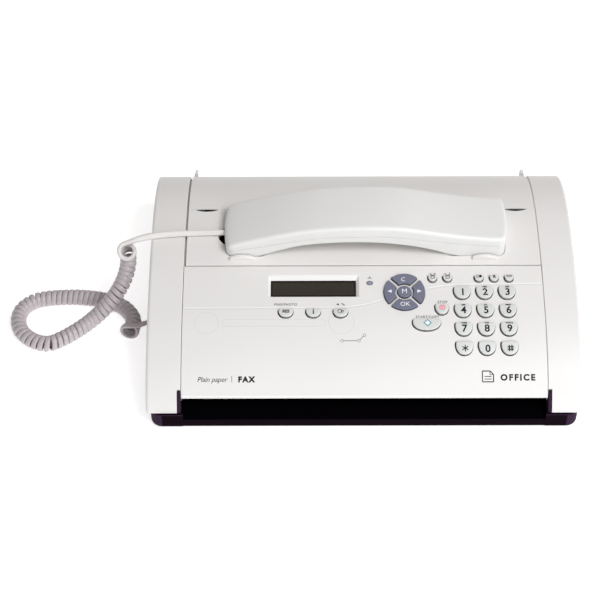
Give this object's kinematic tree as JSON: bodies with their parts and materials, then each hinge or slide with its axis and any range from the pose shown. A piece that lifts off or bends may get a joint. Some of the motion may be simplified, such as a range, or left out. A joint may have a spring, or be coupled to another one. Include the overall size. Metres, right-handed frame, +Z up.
{
  "type": "fax machine",
  "caption": "Low arched fax machine with a corded handset across its top, a hinged key panel with display, a paper cover behind and a paper exit slot in front.",
  "frame": {"origin": "centre of the machine's footprint, on the surface that the feet stand on, without the handset cord", "axes": "+X to the machine's right as the user faces it, +Y to its back, +Z up"},
  "size_m": [0.4471, 0.236, 0.0988],
  "materials": {
    "off_white": "fine moulded texture",
    "dark_plastic": "satin",
    "key_grey": "satin",
    "nav_blue": "satin",
    "cord_plastic": "soft gloss",
    "foot_rubber": "matte",
    "roller_rubber": "ground matte",
    "film_black": "gloss",
    "circuit_board": "solder mask",
    "metal": "plain",
    "gear_brass": "machined",
    "speaker_black": "paper cone",
    "lcd_glass": "dark window",
    "lamp_lens": "lens"
  },
  "bodies": {
    "chassis": {"base_tray": "dark_plastic", "foot_front_left": "foot_rubber", "foot_front_right": "foot_rubber", "foot_rear_left": "foot_rubber", "foot_rear_right": "foot_rubber", "socket_block": "dark_plastic", "handset_jack": "dark_plastic", "left_side_cover": "off_white", "right_side_cover": "off_white", "cradle_cover": "off_white", "paper_tray": "dark_plastic", "drive_motor": "metal", "print_head": "metal", "scan_bar": "dark_plastic", "main_board": "circuit_board", "power_board": "circuit_board", "loudspeaker": "speaker_black", "handset_lead": "cord_plastic", "cord_coil": "cord_plastic", "base_lead": "cord_plastic"},
    "control_panel": {"panel_shell": "off_white", "lcd_window": "lcd_glass", "lcd_module": "metal", "status_lamp": "lamp_lens", "key_board": "circuit_board"},
    "paper_cover": {"paper_cover": "off_white"},
    "handset": {"handset_top_shell": "off_white", "handset_bottom_shell": "off_white"},
    "hook_plunger": {"hook_plunger": "off_white"},
    "platen_roller": {"platen_roller": "roller_rubber"},
    "feed_roller": {"feed_roller": "roller_rubber"},
    "motor_gear": {"motor_gear": "gear_brass"},
    "film_roll": {"film_roll": "film_black"},
    "key_1": {"key_1": "key_grey"},
    "key_2": {"key_2": "key_grey"},
    "key_3": {"key_3": "key_grey"},
    "key_4": {"key_4": "key_grey"},
    "key_5": {"key_5": "key_grey"},
    "key_6": {"key_6": "key_grey"},
    "key_7": {"key_7": "key_grey"},
    "key_8": {"key_8": "key_grey"},
    "key_9": {"key_9": "key_grey"},
    "key_star": {"key_star": "key_grey"},
    "key_0": {"key_0": "key_grey"},
    "key_hash": {"key_hash": "key_grey"},
    "key_stop": {"key_stop": "key_grey"},
    "key_start": {"key_start": "key_grey"},
    "key_nav_up": {"key_nav_up": "nav_blue"},
    "key_nav_right": {"key_nav_right": "nav_blue"},
    "key_nav_down": {"key_nav_down": "nav_blue"},
    "key_nav_left": {"key_nav_left": "nav_blue"},
    "key_nav_centre": {"key_nav_centre": "nav_blue"},
    "key_soft_a": {"key_soft_a": "key_grey"},
    "key_soft_b": {"key_soft_b": "key_grey"},
    "key_soft_c": {"key_soft_c": "key_grey"},
    "key_line_a": {"key_line_a": "key_grey"},
    "key_line_b": {"key_line_b": "key_grey"},
    "key_set_a": {"key_set_a": "key_grey"},
    "key_set_b": {"key_set_b": "key_grey"},
    "key_set_c": {"key_set_c": "key_grey"}
  },
  "joints": [
    {"name": "panel_hinge", "type": "hinge", "parent": "chassis", "child": "control_panel", "pos_m": [0, -0.0155, 0.0632], "axis": [-1, 0, 0], "range_deg": [0, 55]},
    {"name": "paper_cover_hinge", "type": "hinge", "parent": "chassis", "child": "paper_cover", "pos_m": [0, 0.109, 0.034], "axis": [-1, 0, 0], "range_deg": [0, 75]},
    {"name": "handset_lift", "type": "slide", "parent": "chassis", "child": "handset", "axis": [0, 0, 1], "range_m": [0, 0.12]},
    {"name": "hook_travel", "type": "slide", "parent": "chassis", "child": "hook_plunger", "axis": [0, 0, 1], "range_m": [0, 0.004]},
    {"name": "platen_spin", "type": "hinge", "parent": "chassis", "child": "platen_roller", "pos_m": [0, -0.045, 0.022], "axis": [1, 0, 0], "continuous": true},
    {"name": "feed_spin", "type": "hinge", "parent": "chassis", "child": "feed_roller", "pos_m": [0, -0.071, 0.0205], "axis": [1, 0, 0], "continuous": true},
    {"name": "motor_spin", "type": "hinge", "parent": "chassis", "child": "motor_gear", "pos_m": [0, -0.05964, 0.03247], "axis": [1, 0, 0], "continuous": true},
    {"name": "film_spin", "type": "hinge", "parent": "chassis", "child": "film_roll", "pos_m": [0, -0.02, 0.038], "axis": [1, 0, 0], "continuous": true},
    {"name": "key_1_press", "type": "slide", "parent": "control_panel", "child": "key_1", "axis": [0, 0.2351, -0.972], "range_m": [0, 0.0012], "stiffness_N_per_m": 350, "springref_m": -0.0006},
    {"name": "key_2_press", "type": "slide", "parent": "control_panel", "child": "key_2", "axis": [0, 0.2351, -0.972], "range_m": [0, 0.0012], "stiffness_N_per_m": 350, "springref_m": -0.0006},
    {"name": "key_3_press", "type": "slide", "parent": "control_panel", "child": "key_3", "axis": [0, 0.2351, -0.972], "range_m": [0, 0.0012], "stiffness_N_per_m": 350, "springref_m": -0.0006},
    {"name": "key_4_press", "type": "slide", "parent": "control_panel", "child": "key_4", "axis": [0, 0.2659, -0.964], "range_m": [0, 0.0012], "stiffness_N_per_m": 350, "springref_m": -0.0006},
    {"name": "key_5_press", "type": "slide", "parent": "control_panel", "child": "key_5", "axis": [0, 0.2659, -0.964], "range_m": [0, 0.0012], "stiffness_N_per_m": 350, "springref_m": -0.0006},
    {"name": "key_6_press", "type": "slide", "parent": "control_panel", "child": "key_6", "axis": [0, 0.2659, -0.964], "range_m": [0, 0.0012], "stiffness_N_per_m": 350, "springref_m": -0.0006},
    {"name": "key_7_press", "type": "slide", "parent": "control_panel", "child": "key_7", "axis": [0, 0.3501, -0.9367], "range_m": [0, 0.0012], "stiffness_N_per_m": 350, "springref_m": -0.0006},
    {"name": "key_8_press", "type": "slide", "parent": "control_panel", "child": "key_8", "axis": [0, 0.3501, -0.9367], "range_m": [0, 0.0012], "stiffness_N_per_m": 350, "springref_m": -0.0006},
    {"name": "key_9_press", "type": "slide", "parent": "control_panel", "child": "key_9", "axis": [0, 0.3501, -0.9367], "range_m": [0, 0.0012], "stiffness_N_per_m": 350, "springref_m": -0.0006},
    {"name": "key_star_press", "type": "slide", "parent": "control_panel", "child": "key_star", "axis": [0, 0.4127, -0.9109], "range_m": [0, 0.0012], "stiffness_N_per_m": 350, "springref_m": -0.0006},
    {"name": "key_0_press", "type": "slide", "parent": "control_panel", "child": "key_0", "axis": [0, 0.4127, -0.9109], "range_m": [0, 0.0012], "stiffness_N_per_m": 350, "springref_m": -0.0006},
    {"name": "key_hash_press", "type": "slide", "parent": "control_panel", "child": "key_hash", "axis": [0, 0.4127, -0.9109], "range_m": [0, 0.0012], "stiffness_N_per_m": 350, "springref_m": -0.0006},
    {"name": "key_stop_press", "type": "slide", "parent": "control_panel", "child": "key_stop", "axis": [0, 0.2604, -0.9655], "range_m": [0, 0.0012], "stiffness_N_per_m": 350, "springref_m": -0.0006},
    {"name": "key_start_press", "type": "slide", "parent": "control_panel", "child": "key_start", "axis": [0, 0.3261, -0.9454], "range_m": [0, 0.0012], "stiffness_N_per_m": 350, "springref_m": -0.0006},
    {"name": "key_nav_up_press", "type": "slide", "parent": "control_panel", "child": "key_nav_up", "axis": [0, 0.2346, -0.9721], "range_m": [0, 0.0012], "stiffness_N_per_m": 350, "springref_m": -0.0006},
    {"name": "key_nav_right_press", "type": "slide", "parent": "control_panel", "child": "key_nav_right", "axis": [0, 0.2346, -0.9721], "range_m": [0, 0.0012], "stiffness_N_per_m": 350, "springref_m": -0.0006},
    {"name": "key_nav_down_press", "type": "slide", "parent": "control_panel", "child": "key_nav_down", "axis": [0, 0.2346, -0.9721], "range_m": [0, 0.0012], "stiffness_N_per_m": 350, "springref_m": -0.0006},
    {"name": "key_nav_left_press", "type": "slide", "parent": "control_panel", "child": "key_nav_left", "axis": [0, 0.2346, -0.9721], "range_m": [0, 0.0012], "stiffness_N_per_m": 350, "springref_m": -0.0006},
    {"name": "key_nav_centre_press", "type": "slide", "parent": "control_panel", "child": "key_nav_centre", "axis": [0, 0.2346, -0.9721], "range_m": [0, 0.0012], "stiffness_N_per_m": 350, "springref_m": -0.0006},
    {"name": "key_soft_a_press", "type": "slide", "parent": "control_panel", "child": "key_soft_a", "axis": [0, 0.2728, -0.9621], "range_m": [0, 0.0012], "stiffness_N_per_m": 350, "springref_m": -0.0006},
    {"name": "key_soft_b_press", "type": "slide", "parent": "control_panel", "child": "key_soft_b", "axis": [0, 0.2728, -0.9621], "range_m": [0, 0.0012], "stiffness_N_per_m": 350, "springref_m": -0.0006},
    {"name": "key_soft_c_press", "type": "slide", "parent": "control_panel", "child": "key_soft_c", "axis": [0, 0.2728, -0.9621], "range_m": [0, 0.0012], "stiffness_N_per_m": 350, "springref_m": -0.0006},
    {"name": "key_line_a_press", "type": "slide", "parent": "control_panel", "child": "key_line_a", "axis": [0, 0.2133, -0.977], "range_m": [0, 0.0012], "stiffness_N_per_m": 350, "springref_m": -0.0006},
    {"name": "key_line_b_press", "type": "slide", "parent": "control_panel", "child": "key_line_b", "axis": [0, 0.2133, -0.977], "range_m": [0, 0.0012], "stiffness_N_per_m": 350, "springref_m": -0.0006},
    {"name": "key_set_a_press", "type": "slide", "parent": "control_panel", "child": "key_set_a", "axis": [0, 0.2133, -0.977], "range_m": [0, 0.0012], "stiffness_N_per_m": 350, "springref_m": -0.0006},
    {"name": "key_set_b_press", "type": "slide", "parent": "control_panel", "child": "key_set_b", "axis": [0, 0.2133, -0.977], "range_m": [0, 0.0012], "stiffness_N_per_m": 350, "springref_m": -0.0006},
    {"name": "key_set_c_press", "type": "slide", "parent": "control_panel", "child": "key_set_c", "axis": [0, 0.2133, -0.977], "range_m": [0, 0.0012], "stiffness_N_per_m": 350, "springref_m": -0.0006}
  ],
  "couplings": [
    {"joint": "hook_travel", "follows": "handset_lift", "ratio": 0.03333},
    {"joint": "feed_spin", "follows": "platen_spin", "ratio": 1.1667},
    {"joint": "motor_spin", "follows": "platen_spin", "ratio": -1.4}
  ]
}
